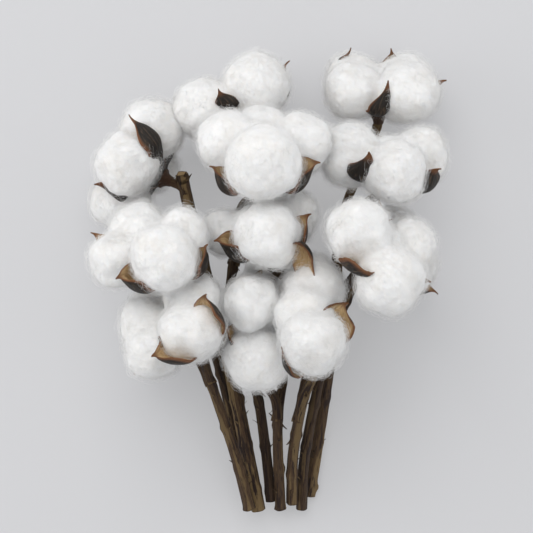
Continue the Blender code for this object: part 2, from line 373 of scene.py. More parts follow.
def makeLintMaterial(name, look, tones, bump, scatter):
    material, tree, shader = newMaterial(name)
    place = node(tree, "ShaderNodeTexCoord").outputs["Object"]
    clouds = noiseOf(tree, place, look["cloudScale"], 5.0, 0.6)
    wisps = noiseOf(tree, place, look["wispScale"], 6.0, 0.7, stretch=(1.0, 0.35, 1.0))
    # the clouds that raise the bump also paint its shade: darker in its hollows, lighter on its tops
    stops = ((look["paintedHollowShadeAt"], tones[0]), (look["paintedTopLightAt"], tones[1]))
    swell = math2(tree, "MULTIPLY", clouds, look["cloudBump"])
    height = math2(tree, "ADD", wisps, swell)
    bumpInto(tree, shader, height, bump, look["bumpDepth"])
    setInputs(shader, Base_Color=rampOf(tree, stops, clouds),
              Roughness=look["roughness"], Specular_IOR_Level=look["specular"],
              Sheen_Weight=look["sheen"], Sheen_Roughness=look["sheenRoughness"],
              Subsurface_Weight=scatter, Subsurface_Radius=look["scatterRadius"], Subsurface_Scale=1.0)
    return material


huskLook = {
    "outside": (0.012, 0.0085, 0.006),
    "outsideVein": (0.085, 0.055, 0.034),
    "inside": (0.60, 0.42, 0.22),
    "insideShade": (0.24, 0.125, 0.055),
    "rim": (0.33, 0.135, 0.055),
    "rimDark": (0.10, 0.040, 0.018),
    "fibreScale": 8.0,
    "patchScale": 2.2,
    "contrast": 2.4,
    "veins": (0.50, 0.86),    # spans of the fibres and patches over which a tone comes in
    "grained": (0.35, 0.9),
    "stained": (0.55, 0.95),
    "grainShare": 0.55,       # and how much of it
    "stainShare": 0.5,
    "rimShare": 0.92,
    "roughness": 0.48,
    "roughSpread": 0.25,
    "specular": 0.35,
    "bump": 0.8,
    "bumpDepth": 0.0005,
}


def makeHuskMaterial(look):
    # reads the valve attribute: red inside, green rim, blue the way up the valve
    material, tree, shader = newMaterial("driedHusk")
    split, along = readMarks(tree, "valve")
    fibres, patches = streaksIn(tree, along, look)
    veins = mappedShare(tree, fibres, look["veins"])
    outside = mixColor(tree, veins, look["outside"], look["outsideVein"])
    grained = mappedShare(tree, fibres, look["grained"])
    grained = math2(tree, "MULTIPLY", grained, look["grainShare"])
    inside = mixColor(tree, grained, look["inside"], look["insideShade"])
    stained = mappedShare(tree, patches, look["stained"])
    stained = math2(tree, "MULTIPLY", stained, look["stainShare"])
    inside = mixColor(tree, stained, inside, look["insideShade"])
    body = mixColor(tree, split["Red"], outside, inside)
    rimTone = mixColor(tree, fibres, look["rim"], look["rimDark"])
    edge = math2(tree, "MULTIPLY", split["Green"], look["rimShare"])
    color = mixColor(tree, edge, body, rimTone)
    roughenBy(tree, shader, patches, look)
    bumpInto(tree, shader, fibres, look["bump"], look["bumpDepth"])
    setInputs(shader, Base_Color=color, Specular_IOR_Level=look["specular"])
    return material


stemLook = {
    "bark": (0.052, 0.026, 0.015),
    "olive": (0.110, 0.066, 0.028),
    "dark": (0.022, 0.011, 0.008),
    "pale": (0.175, 0.115, 0.052),
    "pith": (0.72, 0.60, 0.36),
    "wood": (0.45, 0.31, 0.16),
    "fibreScale": 7.0,
    "patchScale": 0.8,
    "contrast": 3.0,
    "spotScale": 2.6,
    "paleFrom": (0.52, 0.66),  # spans of the patches and spots over which a tone comes in
    "darkFrom": (0.50, 0.62),
    "roughness": 0.62,
    "roughSpread": 0.2,
    "specular": 0.3,
    "bump": 0.8,
    "bumpDepth": 0.0006,
}


def makeStemMaterial(look):
    # reads the cut attribute: red the sawn face, green its pith, blue how dark the stem is
    material, tree, shader = newMaterial("driedStem")
    split, along = readMarks(tree, "cut")
    fibres, patches = streaksIn(tree, along, look)
    bark = mixColor(tree, fibres, look["bark"], look["olive"])
    pale = mappedShare(tree, patches, look["paleFrom"])
    bark = mixColor(tree, pale, bark, look["pale"])
    spots = noiseOf(tree, along, look["spotScale"], 4.0, 0.7)
    dark = mappedShare(tree, spots, look["darkFrom"])
    dark = math2(tree, "ADD", dark, split["Blue"])
    dark = node(tree, "ShaderNodeClamp", Value=dark).outputs[0]
    bark = mixColor(tree, dark, bark, look["dark"])
    sawn = mixColor(tree, split["Green"], look["wood"], look["pith"])
    color = mixColor(tree, split["Red"], bark, sawn)
    roughenBy(tree, shader, patches, look)
    height = math2(tree, "ADD", fibres, spots)
    bumpInto(tree, shader, height, look["bump"], look["bumpDepth"])
    setInputs(shader, Base_Color=color, Specular_IOR_Level=look["specular"])
    return material


lintMaterial = makeLintMaterial("cottonLint", lintLook, lintLook["body"],
                                bump=lintLook["bump"], scatter=lintLook["scatter"])
# painted light: the fuzz is the same cotton as the body, made lighter so its fibres look less shaded
fuzzMaterial = makeLintMaterial("cottonFuzz", lintLook, lintLook["fibre"], bump=0.0, scatter=0.0)
huskMaterial = makeHuskMaterial(huskLook)
stemMaterial = makeStemMaterial(stemLook)
print("materials made")

lint = {
    "swell": 1.08,            # how far the fluff stands out past each lock's solid
    "coreSwell": 1.25,
    "uneven": 0.06,           # of each lock, as a share of its radius
    "unevenScale": 1.4,
    "voxel": 0.0008,
    "soften": 16,             # rounds of smoothing, which open the creases between locks
    "lump": 0.0020,
    "lumpSize": 0.013,
    "tuft": 0.0005,
    "tuftSize": 0.0042,
}

# fluff that has drawn out into the gaps beside a boll: (middle in the bunch, radius)
drawnOut = {
    7: [((-0.0069, -0.0083, 0.0910), 0.0150)],
}

# small locks that are lost in the rest of their boll: (boll, lock)
lostLocks = {(12, 2)}


def ballPoints(middle, radius, seed):
    # one lock: a plump ball, a little uneven
    ball = bmesh.new()
    bmesh.ops.create_icosphere(ball, subdivisions=4, radius=1.0)
    points = []
    for vertex in ball.verts:
        swell = 1.0 + lint["uneven"] * noise.noise(vertex.co * lint["unevenScale"] + Vector((seed, 0, 0)))
        points.append(middle + vertex.co * radius * swell)
    faces = [tuple(vertex.index for vertex in face.verts) for face in ball.faces]
    ball.free()
    return points, faces


def makeLint(number, boll):
    coreSize = coreRadius(boll) * lint["coreSwell"]
    whole = ballPoints(Vector((0, 0, growth["lockRise"])), coreSize, number * 1.7)
    for index, (angle, radius) in enumerate(boll.locks):
        if (number, index) in lostLocks:
            continue
        turn = math.radians(angle)
        middle = Vector((boll.opening * math.cos(turn), boll.opening * math.sin(turn), growth["lockRise"]))
        join(whole, ballPoints(middle, radius * lint["swell"], number * 7.3 + index * 3.1))
    toBoll = bollMatrix(boll).inverted()
    for index, (place, radius) in enumerate(drawnOut.get(number, [])):
        join(whole, ballPoints(toBoll @ (Vector(place) + centering), radius, number * 2.9 + index))
    piece = newPiece(f"lint_{number:02d}", *whole, lintMaterial)
    merge = piece.modifiers.new("Locks grown together", "REMESH")
    merge.mode = "VOXEL"
    merge.voxel_size = lint["voxel"]
    bpy.context.view_layer.update()
    mesh = bpy.data.meshes.new_from_object(piece.evaluated_get(bpy.context.evaluated_depsgraph_get()))
    piece.modifiers.clear()
    cage = piece.data
    piece.data = mesh
    bpy.data.meshes.remove(cage)
    mesh.name = piece.name
    soften(mesh, lint["soften"])
    fluff(mesh, number, bollMatrix(boll))
    mesh.shade_smooth()
    return piece


def soften(mesh, rounds):
    # each point moves to the mean of its neighbours
    count = len(mesh.vertices)
    points = readAll(mesh.vertices, "co", 3)
    one, other = readAll(mesh.edges, "vertices", 2, np.int64).T
    links = np.bincount(one, minlength=count) + np.bincount(other, minlength=count)
    for _ in range(rounds):
        mean = [(np.bincount(one, points[other, axis], count)
                 + np.bincount(other, points[one, axis], count)) / links for axis in range(3)]
        points = np.stack(mean, axis=1)
    mesh.vertices.foreach_set("co", points.ravel())
    mesh.update()


def fluff(mesh, number, placed):
    # broad lumps and small tufts, moved along each point's own normal
    shift = Vector((number * 11.3, number * 5.9, 0.0))
    normals = [vertex.normal.copy() for vertex in mesh.vertices]
    for vertex, normal in zip(mesh.vertices, normals):
        at = vertex.co + shift
        lump = noise.noise(at / lint["lumpSize"])
        tuft = noise.noise(at / lint["tuftSize"])
        tuft += 0.5 * noise.noise(at * 2.3 / lint["tuftSize"])      # and a finer one on it
        vertex.co += normal * (lint["lump"] * lump + lint["tuft"] * tuft)
    mesh.vertices.foreach_set("co", settle(readAll(mesh.vertices, "co", 3), placed).ravel())
    mesh.update()


fuzz = {
    "count": 7400,            # fibres on a boll
    "length": (0.004, 0.011),
    "rise": 0.0032,           # how far a fibre's middle stands off the surface
    "leastRise": 0.00015,
    "lowBias": 1.8,           # most fibres lie low
    "rootDepth": 0.0002,
    "radius": 0.000035,
    "tip": 0.4,               # of the radius
    "rings": 5,
    "curl": 0.0015,
    "wave": 0.6,              # of the curl, once more along the fibre
    "arch": (0.05, 0.8),      # where on its arch a fibre starts, and how much of the arch it has
    "lockRadius": 0.018,      # the fibres bend round a ball of this size
}


def makeFuzz(number, boll, lintPiece):
    # loose fibres that start in the surface and curl over it, each a thin closed three-sided tube
    draw = np.random.default_rng(1000 + number)
    patches = lintPiece.data.polygons
    areas = readAll(patches, "area", 1).ravel()
    count, rings = fuzz["count"], fuzz["rings"]
    picks = draw.choice(len(areas), size=count, p=areas / areas.sum())
    roots = readAll(patches, "center", 3)[picks]
    normals = readAll(patches, "normal", 3)[picks]
    away = draw.normal(size=(count, 3))
    along = away - normals * np.sum(away * normals, axis=1)[:, None]
    along /= np.linalg.norm(along, axis=1)[:, None]
    across = np.cross(normals, along)
    lengths = draw.uniform(*fuzz["length"], size=count)
    rise = fuzz["rise"] * draw.uniform(0.0, 1.0, size=count) ** fuzz["lowBias"] + fuzz["leastRise"]
    sway = draw.normal(size=(count, 2)) * fuzz["curl"]
    start, run = fuzz["arch"]
    line = np.zeros((count, rings, 3))
    for ring in range(rings):
        share = ring / (rings - 1)
        far = lengths * share
        lift = rise * math.sin(math.pi * min(start + share * run, 1.0)) - fuzz["rootDepth"]
        lift = lift - far ** 2 / (2 * fuzz["lockRadius"])
        sideways = sway[:, 0] * math.sin(math.pi * share)
        sideways = sideways + sway[:, 1] * math.sin(math.tau * share) * fuzz["wave"]
        line[:, ring] = roots + along * far[:, None] + normals * lift[:, None] + across * sideways[:, None]
    return makeTubes(f"fuzz_{number:02d}", settle(line, bollMatrix(boll)), fuzz["radius"])


def makeTubes(name, line, radius):
    # one mesh of closed three-sided tubes, with a row of points in line for each
    count, rings = line.shape[:2]
    run = np.gradient(line, axis=1)
    run /= np.linalg.norm(run, axis=2)[:, :, None]
    helper = np.where(np.abs(run[:, :, 2:3]) < 0.9, [[[0.0, 0.0, 1.0]]], [[[1.0, 0.0, 0.0]]])
    first = np.cross(run, helper)
    first /= np.linalg.norm(first, axis=2)[:, :, None]
    second = np.cross(run, first)
    widths = radius * np.where(np.arange(rings) == rings - 1, fuzz["tip"], 1.0)[None, :, None]
    points = np.empty((count, rings, 3, 3))
    for side in range(3):
        turn = math.tau * side / 3
        points[:, :, side] = line + widths * (first * math.cos(turn) + second * math.sin(turn))
    fibre = np.arange(count)[:, None, None]
    ring = np.arange(rings - 1)[None, :, None]
    side = np.arange(3)[None, None, :]
    after = (side + 1) % 3
    at = fibre * rings * 3 + ring * 3
    walls = np.stack([at + side, at + after, at + 3 + after, at + 3 + side], axis=-1).reshape(-1, 4)
    heads = np.arange(count) * rings * 3
    tails = heads + (rings - 1) * 3
    caps = np.concatenate([np.stack([heads + 2, heads + 1, heads], axis=-1),
                           np.stack([tails, tails + 1, tails + 2], axis=-1)])
    mesh = bpy.data.meshes.new(name)
    mesh.vertices.add(count * rings * 3)
    mesh.vertices.foreach_set("co", points.ravel())
    mesh.loops.add(walls.size + caps.size)
    mesh.loops.foreach_set("vertex_index", np.concatenate([walls.ravel(), caps.ravel()]))
    mesh.polygons.add(len(walls) + len(caps))
    mesh.polygons.foreach_set("loop_start", np.concatenate([np.arange(len(walls)) * 4,
                                                            walls.size + np.arange(len(caps)) * 3]))
    mesh.update(calc_edges=True)
    mesh.shade_smooth()
    layTubes(mesh, count, rings)
    mesh.materials.append(fuzzMaterial)
    return addObject(name, mesh)


# where a fibre lies in its cell of the map: its three sides, its two ends
fibreCell = {
    "left": 0.08,
    "side": 0.28,
    "low": 0.12,
    "height": 0.76,
    "ends": (((0.1, 0.10), (0.5, 0.04), (0.9, 0.10)), ((0.1, 0.90), (0.9, 0.90), (0.5, 0.96))),
}


def layTubes(mesh, count, rings):
    # every fibre has a small cell of its own in the UV map
    cells = math.ceil(math.sqrt(count))
    column, row = np.arange(count) % cells, np.arange(count) // cells
    side, ring = np.arange(3)[None, None, :], np.arange(rings - 1)[None, :, None]
    left = column[:, None, None] + fibreCell["left"] + fibreCell["side"] * side
    low = row[:, None, None] + fibreCell["low"] + fibreCell["height"] * ring / (rings - 1)
    left, low = np.broadcast_arrays(left, low)
    high, right = low + fibreCell["height"] / (rings - 1), left + fibreCell["side"]
    places = [np.stack([left, low, right, low, right, high, left, high], axis=-1).ravel()]
    for end in fibreCell["ends"]:
        corners = [value for across, up in end for value in (column + across, row + up)]
        places.append(np.stack(corners, axis=-1).ravel())
    mesh.uv_layers.new(name="OFBake").data.foreach_set("uv", np.concatenate(places) / cells)


husk = {
    "rows": 32,
    "columns": 13,            # points across each face of a valve
    "wall": 0.0014,
    "thinWall": 0.30,         # of the wall, where a valve is narrowest
    "keelAngle": 16.0,        # a valve is a boat: its two wings fold in from the keel by this much
    "wingAngle": 46.0,        # and bend by this much more out to the rims
    "septum": 0.0016,
    "septumWidth": 0.11,
    "root": 0.0015,           # where a valve starts, from the boll's axis
    "startBend": -72.0,
    "standOff": 0.0024,       # of the keel over the solid valve
    "flareRadius": 0.010,
    "hookRadius": 0.0028,
    "hookTurn": 50.0,
    "foot": 0.0026,           # half width at the disc
    "halfWidth": 0.0088,
    "beak": 0.0010,
    "edge": 0.00022,          # half width at the very tip
    "waver": 0.07,            # of the width up the valve
    "ragged": 0.05,           # of the rims
    "wrinkle": 0.00022,
}

# the part of a valve's length over which each of these comes in
spans = {
    "standOff": (0.05, 0.55),
    "roll": (0.12, 0.6),
    "sinkIn": (0.05, 0.2),
    "sinkOut": (0.42, 0.66),
    "out": (0.1, 0.5),
    "lean": (0.2, 1.0),
    "slide": (0.05, 0.5),
    "fold": (0.0, 0.25),
    "septum": (0.08, 0.3),
    "beak": (0.90, 1.0),
    "rimTop": (0.84, 0.93),
    "rimSide": (0.84, 1.0),   # this one across the valve
}

# how a valve stands, in degrees and metres
valveHabit = {
    "top": -14.0,             # the bend where it leaves the lock
    "flare": 42.0,            # how far it then turns outward
    "roll": 25.0,             # how far it rolls open towards the boll's upper side
    "lean": 0.0,              # of its tip to one side
    "width": 0.95,
    "turn": 0.0,              # degrees round the boll from the solid valve
    "out": 0.0,               # away from the boll's axis
    "slide": 0.0,             # along the boll's axis
    "sink": 0.0015,           # how deep the lower half lies in the fluff
    "shoulder": 0.76,         # where the valve starts to narrow to its beak
}

# how far a valve that isn't in the next table may stray from this
strays = {"top": (-8, 18), "roll": (-20, 30), "lean": (-0.0015, 0.0015)}

# the valves that stand in ways of their own: (boll, valve)
valveHabits = {
    (1, 0): dict(turn=15, roll=-5, flare=40, top=6, width=1.1, sink=0.007, shoulder=0.62),
    (1, 1): dict(roll=42, flare=34, top=5, width=1.3, shoulder=0.66),
    (2, 0): dict(roll=0, turn=10, lean=-0.009, slide=0.003, width=0.62, flare=20, sink=0.006),
    (2, 1): dict(roll=34, top=0, flare=50, width=0.9, out=-0.0015),
    (2, 3): dict(top=-50, flare=8, out=-0.003),
    (3, 0): dict(roll=28, flare=34, slide=-0.01, top=-4, width=1.15, sink=0.002),
    (3, 1): dict(roll=42, flare=44, slide=-0.005, top=-8, width=1.35, sink=0.001),
    (4, 0): dict(roll=-26, top=24, flare=12, lean=0.003, width=0.9, sink=0.002, shoulder=0.64),
    (4, 1): dict(roll=30, top=-4, flare=50, width=1.25, out=-0.0018, slide=-0.002),
    (4, 2): dict(roll=0, turn=-20, top=62, flare=12, width=0.9),
    (4, 3): dict(roll=10, turn=-28, top=62, flare=24, width=0.9),
    (5, 0): dict(roll=-22, top=16, flare=24, lean=0.008, width=1.45, slide=0.003, sink=0.002,
                 shoulder=0.62),
    (5, 1): dict(roll=-32, top=0, flare=40, width=1.5, slide=-0.004, out=-0.001, shoulder=0.7),
    (6, 0): dict(roll=-62, top=-16, flare=10, slide=0.007, lean=0.008, width=1.4, shoulder=0.84),
    (6, 1): dict(roll=24, top=12, flare=40, slide=-0.003, width=1.2),
    (6, 2): dict(turn=44, top=54, flare=14, width=0.7),
    (7, 0): dict(roll=38, flare=44, top=-6, width=1.35),
    (7, 1): dict(roll=66, flare=40, top=-12, width=0.95, slide=0.003, sink=0.009, out=-0.003),
    (9, 0): dict(roll=42, flare=38, top=-6, width=1.3),
    (9, 1): dict(roll=38, flare=24, top=-10, width=0.95),
    (9, 2): dict(top=-40),
    (9, 3): dict(top=0, flare=50, width=0.8),
    (10, 0): dict(turn=5, roll=66, flare=16, slide=0.013, top=4, width=1.45),
    (10, 1): dict(turn=-10, roll=72, flare=42, slide=0.009, lean=0.003, top=-2, width=1.15, sink=0.004),
    (10, 2): dict(top=-40),
    (10, 3): dict(top=-50),
    (11, 0): dict(top=-30),
    (11, 2): dict(turn=30, roll=55, flare=44, slide=0.008, out=0.003, top=0, width=1.4),
    (12, 0): dict(roll=84, flare=56, slide=-0.001, top=-6, width=1.3, sink=0.003),
    (12, 1): dict(turn=-57, roll=20, top=60, flare=12, slide=0.023, width=0.85),
    (12, 2): dict(turn=12, roll=60, top=30, flare=4, slide=-0.005, width=0.6),
}


def valvePath(boll, middle, reach, habit):
    # (distance from the axis, height) up the valve: out from the disc, round the locks, then outward
    floor = discHeight(boll)
    path = [(husk["root"], floor), (growth["discRadius"], floor)]
    steps = 10
    for index in range(steps):
        share = index / (steps - 1)
        bend = math.radians(husk["startBend"] + (habit["top"] - husk["startBend"]) * share)
        stand = reach + husk["standOff"] * smoothStep(share, *spans["standOff"])
        path.append((middle + stand * math.cos(bend), growth["lockRise"] + stand * math.sin(bend)))
    facing = math.radians(habit["top"] + 90)
    steps = 6
    for turn, radius in ((habit["flare"], husk["flareRadius"]), (husk["hookTurn"], husk["hookRadius"])):
        for _ in range(steps):
            facing -= math.radians(turn) / steps
            out, height = path[-1]
            step = radius * math.radians(turn) / steps
            path.append((out + step * math.cos(facing), height + step * math.sin(facing)))
    return path


def resample(path, rows):
    smooth = evenly(path, count=rows)[0]
    for _ in range(2):
        smooth[1:-1] = (smooth[:-2] + 2 * smooth[1:-1] + smooth[2:]) / 4
    return smooth


def valveWidth(share, shoulderAt):
    # half width up the valve: narrow at the disc, broad shoulders, then a short beak
    grow = smoothStep(share, 0.0, shoulderAt * 0.84)
    shoulder = 1 - smoothStep(share, shoulderAt, 0.93)
    beak = husk["beak"] * (1 - smoothStep(share, *spans["beak"]))
    broad = (husk["foot"] + (husk["halfWidth"] - husk["foot"]) * grow) * shoulder
    return broad + beak + husk["edge"]


def makeValve(boll, number, index, bend):
    turn, middle, reach = bend
    habit = {**valveHabit, **valveHabits.get((number, index), {})}
    draw = random.Random(number * 100 + index)
    if (number, index) not in valveHabits:
        for name, limits in strays.items():
            habit[name] += draw.uniform(*limits)
    roll = math.radians(habit["roll"]) * (1 if math.sin(turn) > 0 else -1)
    turn += math.radians(habit["turn"])
    path = resample(valvePath(boll, middle, reach, habit), husk["rows"])
    outward = Vector((math.cos(turn), math.sin(turn), 0.0))
    across = Vector((-math.sin(turn), math.cos(turn), 0.0))
    up = Vector((0.0, 0.0, 1.0))
    rows, columns = husk["rows"], husk["columns"]
    seed = Vector((number * 3.7, index * 9.1, 0.0))
    # round the section: (place across, 0 the inside and 1 the outside of the wall, share of inside tone)
    sides = [2 * column / (columns - 1) - 1 for column in range(columns)]
    section = [(side, 0.0, 1.0) for side in sides] + [(1.03, 0.5, 0.7)]
    section += [(side, 1.0, 0.0) for side in reversed(sides)] + [(-1.03, 0.5, 0.7)]
    points, marks, grain = [], [], []
    for row in range(rows):
        share = row / (rows - 1)
        come = {name: smoothStep(share, *span) for name, span in spans.items()}
        before, after = path[max(row - 1, 0)], path[min(row + 1, rows - 1)]
        climb = (outward * (after[0] - before[0]) + up * (after[1] - before[1])).normalized()
        outside = (outward * climb.dot(up) - up * climb.dot(outward)).normalized()
        turned = Matrix.Rotation(roll * come["roll"], 3, climb)
        wide, outside = turned @ across, turned @ outside
        spine = outward * (path[row][0] + habit["out"] * come["out"])
        spine += up * path[row][1] - outside * (habit["sink"] * come["sinkIn"] * (1 - come["sinkOut"]))
        spine += across * habit["lean"] * come["lean"] + up * habit["slide"] * come["slide"]
        halfWidth = valveWidth(share, habit["shoulder"]) * habit["width"]
        halfWidth *= 1 + husk["waver"] * noise.noise(Vector((share * 6, 0, 0)) + seed)
        fullness = min(halfWidth / husk["halfWidth"], 1.0)
        wall = husk["wall"] * (husk["thinWall"] + (1 - husk["thinWall"]) * fullness)
        fold = math.radians(husk["keelAngle"]) * come["fold"]
        bow = math.radians(husk["wingAngle"]) * fullness + 0.01
        for side, depth, inside in section:
            rough = noise.noise(Vector((share * 24, side * 2, 1.0)) + seed)
            wing = halfWidth * (1 + husk["ragged"] * abs(side) * rough) / bow
            lean = fold + bow * abs(side)
            reachOut = (math.sin(lean) - math.sin(fold)) * wing * (1 if side > 0 else -1)
            reachIn = (math.cos(fold) - math.cos(lean)) * wing
            thick = wall * depth
            if depth == 0:
                ridge = math.exp(-(side / husk["septumWidth"]) ** 2) * come["septum"]
                thick -= husk["septum"] * fullness * ridge
            elif depth == 1:
                furrow = noise.fractal(Vector((side * 6, share * 2.4, 0)) + seed, 0.9, 2.0, 3)
                thick += husk["wrinkle"] * furrow - wall * 0.3 * abs(side) ** 6
            tilt = 0.0 if abs(side) < 0.01 else math.copysign(lean, side)
            points.append(spine + wide * (reachOut + thick * math.sin(tilt))
                          + outside * (thick * math.cos(tilt) - reachIn))
            rim = max(smoothStep(abs(side), *spans["rimSide"]), come["rimTop"])
            marks.append((inside, rim, share))
            grain.append((side * 1.3 + seed.x, share * 0.9 + seed.y, number + inside))
    loop = len(section)
    faces = gridFaces(rows, loop, 0, wrap=True, flip=True)
    faces.append(tuple(range(loop)))
    faces.append(tuple(range((rows - 1) * loop, rows * loop))[::-1])
    return points, faces, marks, grain


seat = {
    "sides": 28,
    "crinkle": 0.10,
    # down from the middle of the disc, over its collar, to the stem: (radius, height over the disc)
    "profile": [(0.0, 0.0006), (0.0030, 0.0008), (0.0052, 0.0002), (0.0058, -0.0008), (0.0054, -0.0016),
                (0.0044, -0.0021), (0.0036, -0.0030), (0.0031, -0.0045), (0.0028, -0.0060), (0.0, -0.0060)],
}


def makeSeat(boll, number):
    # the woody disc and its dried collar, turned about the boll's axis
    floor, profile, sides = discHeight(boll), seat["profile"], seat["sides"]
    points, marks, grain = [Vector((0, 0, floor + profile[0][1]))], [(1.0, 0.0, 0.0)], [(0.0, 0.0, number)]
    for radius, height in profile[1:-1]:
        for step in range(sides):
            turn = math.tau * step / sides
            way = Vector((math.cos(turn), math.sin(turn), 0))
            crinkle = 1 + seat["crinkle"] * noise.noise(way * 3.5 + Vector((number, height * 400, 0)))
            points.append(way * radius * crinkle + Vector((0, 0, floor + height)))
            marks.append((0.0, 0.25, 0.1))
            grain.append((turn * 1.2, height * 60, number))
    points.append(Vector((0, 0, floor + profile[-1][1])))
    marks.append((0.0, 0.0, 0.0))
    grain.append((0.0, 0.0, number))
    rings = len(profile) - 2
    faces = gridFaces(rings, sides, 1, wrap=True, flip=True)
    fan(faces, 0, 1, sides)
    fan(faces, len(points) - 1, 1 + (rings - 1) * sides, sides, flip=True)
    return points, faces, marks, grain


def newShell(name, whole, material, marksName, placed, *depth):
    # a piece from the joined shells, with the marks and grain that its material reads
    points, faces, marks, grain = whole
    points = settle(np.array([tuple(point) for point in points]), placed, *depth)
    piece = newPiece(name, points, faces, material)
    paint(piece, marksName, marks)
    paint(piece, "grainAt", grain)
    return piece


def makeHusk(number, boll):
    whole = makeSeat(boll, number)
    for index, bend in enumerate(valveBends(boll)):
        join(whole, makeValve(boll, number, index, bend))
    return newShell(f"burr_{number:02d}", whole, huskMaterial, "valve", bollMatrix(boll))


stem = {
    "sides": 22,
    "step": 0.0013,           # between rings
    "ribs": 0.040,            # depth of the ribs, as a share of the radius
    "ribCount": 5,
    "ribTwist": 18,           # radians a metre
    "waver": 0.03,            # of the thickness along the stem, and of the bark round it
    "knob": 0.10,             # swelling at the old leaf joints
    "jointEvery": 0.027,
    "jointAt": 0.006,
    "jointLength": 0.0022,
    "jointTurn": 2.4,         # from one joint to the next, in radians
    "bud": 2.2,               # of one side of a joint, in knobs
    "forkSwell": 0.35,        # where a side run starts
    "forkLength": 0.006,
    "slant": 0.95,            # of a broken top, as rise over run
    "splinter": 0.0012,
    "pressedUnder": 0.0015,   # height over the surface
    "endRings": ((0.93, 0.0), (0.86, 0.0), (0.42, 0.00012), (0.34, 0.0003)),    # (share of the radius, dip)
}

stemShade = [0.10, 0.25, 0.0, 0.55, 0.15, 0.10, 0.40, 0.0]      # how dark each stem is

flake = {
    "each": 7,                # on a stem
    "atBreak": 4,             # more at a broken top
    "rows": 7,
    "columns": 4,
    "wall": 0.00018,
    "along": (0.1, 0.8),      # the stretch of the stem that has them
    "alongBreak": (0.90, 0.985),
    "forward": 0.6,           # share of them that point up the stem
    "spread": 2.0,            # radians to either side of the top
    "size": (0.0016, 0.0034),
    "breakSize": 1.5,
    "length": 1.3,            # the rest as shares of the size
    "halfWidth": 0.34,
    "curl": 0.9,
    "sunk": 0.06,
    "cup": 0.2,
}


def smoothRoute(points, samples=14):
    knots = [points[0] * 2 - points[1], *points]
    route = []
    for p0, p1, p2, p3 in zip(knots, knots[1:], knots[2:], knots[3:]):
        for index in range(samples):
            t = index / samples
            route.append(0.5 * (2 * p1 + (p2 - p0) * t + (2 * p0 - 5 * p1 + 4 * p2 - p3) * t ** 2
                                + (3 * p1 - p0 - 3 * p2 + p3) * t ** 3))
    return route + points[-2:]


def runRoute(run):
    points = [Vector(point) + centering for point in run.points]
    if run.boll:
        boll = bolls[run.boll - 1]
        placed = bollMatrix(boll)
        end = discHeight(boll) - growth["wall"] - growth["seatGap"]
        points.append(placed @ Vector((0.0, 0.0, end - growth["neck"])))
        points.append(placed @ Vector((0.0, 0.0, end)))
    route, length = evenly(smoothRoute(points), step=stem["step"])
    return [Vector(at) for at in route.tolist()], length


def makeRun(run, seed, darkness, fork):
    route, length = runRoute(run)
    rings, sides = len(route), stem["sides"]
    points, marks, grain = [], [], []
    frameX = Vector((1, 0, 0))
    for ring, at in enumerate(route):
        share = ring / (rings - 1)
        climb = (route[min(ring + 1, rings - 1)] - route[max(ring - 1, 0)]).normalized()
        frameX = (frameX - climb * frameX.dot(climb)).normalized()
        frameY = climb.cross(frameX)
        far = share * length
        radius = run.startRadius + (run.endRadius - run.startRadius) * share
        passed, toJoint = divmod(far + seed * 0.004, stem["jointEvery"])
        joint = math.exp(-((toJoint - stem["jointAt"]) / stem["jointLength"]) ** 2)
        budTurn = seed * 2.4 + passed * stem["jointTurn"]
        swell = 1 + stem["knob"] * joint + stem["waver"] * noise.noise(Vector((far * 60, seed, 0)))
        if fork:
            swell += stem["forkSwell"] * math.exp(-(far / stem["forkLength"]) ** 2)
        for side in range(sides):
            turn = math.tau * side / sides
            rib = math.cos(stem["ribCount"] * turn + far * stem["ribTwist"] + seed) * stem["ribs"]
            barkAt = Vector((math.cos(turn) * 2, math.sin(turn) * 2, far * 120 + seed * 9))
            rib += stem["waver"] * noise.fractal(barkAt, 0.8, 2.0, 3)
            bump = stem["knob"] * joint * max(0.0, math.cos(turn - budTurn)) ** 2 * stem["bud"]
            way = frameX * math.cos(turn) + frameY * math.sin(turn)
            place = at + way * radius * (swell + rib + bump)
            if run.boll is None and ring == rings - 1:
                place -= climb * stem["slant"] * max(place.z - at.z + radius, 0.0)
                place += climb * stem["splinter"] * noise.noise(Vector((side * 1.3, seed, 0.0)))
            points.append(place)
            marks.append((0.0, 0.0, darkness))
            grain.append((math.cos(turn) * 0.7 + seed * 5, math.sin(turn) * 0.7, far * 22))
    faces = gridFaces(rings, sides, 0, wrap=True)
    for last, ringStart in ((False, 0), (True, (rings - 1) * sides)):
        centre = sum((points[ringStart + side] for side in range(sides)), Vector()) / sides
        climb = (route[-1] - route[-2]) if last else (route[0] - route[1])
        climb.normalize()
        previous = ringStart
        for share, dip in stem["endRings"]:
            ringAt = len(points)
            for side in range(sides):
                edge = points[ringStart + side]
                points.append(centre + (edge - centre) * share - climb * dip)
                marks.append((1.0 if share < 0.9 else 0.2, 1.0 if share < 0.4 else 0.0, 0.0))
                grain.append((side * 0.3, share * 2, seed))
            for side in range(sides):
                after = (side + 1) % sides
                quad = (previous + side, previous + after, ringAt + after, ringAt + side)
                faces.append(quad if last else quad[::-1])
            previous = ringAt
        points.append(centre - climb * 0.0004)
        marks.append((1.0, 1.0, 0.0))
        grain.append((0.0, 0.0, seed))
        fan(faces, len(points) - 1, previous, sides, flip=not last)
    return points, faces, marks, grain


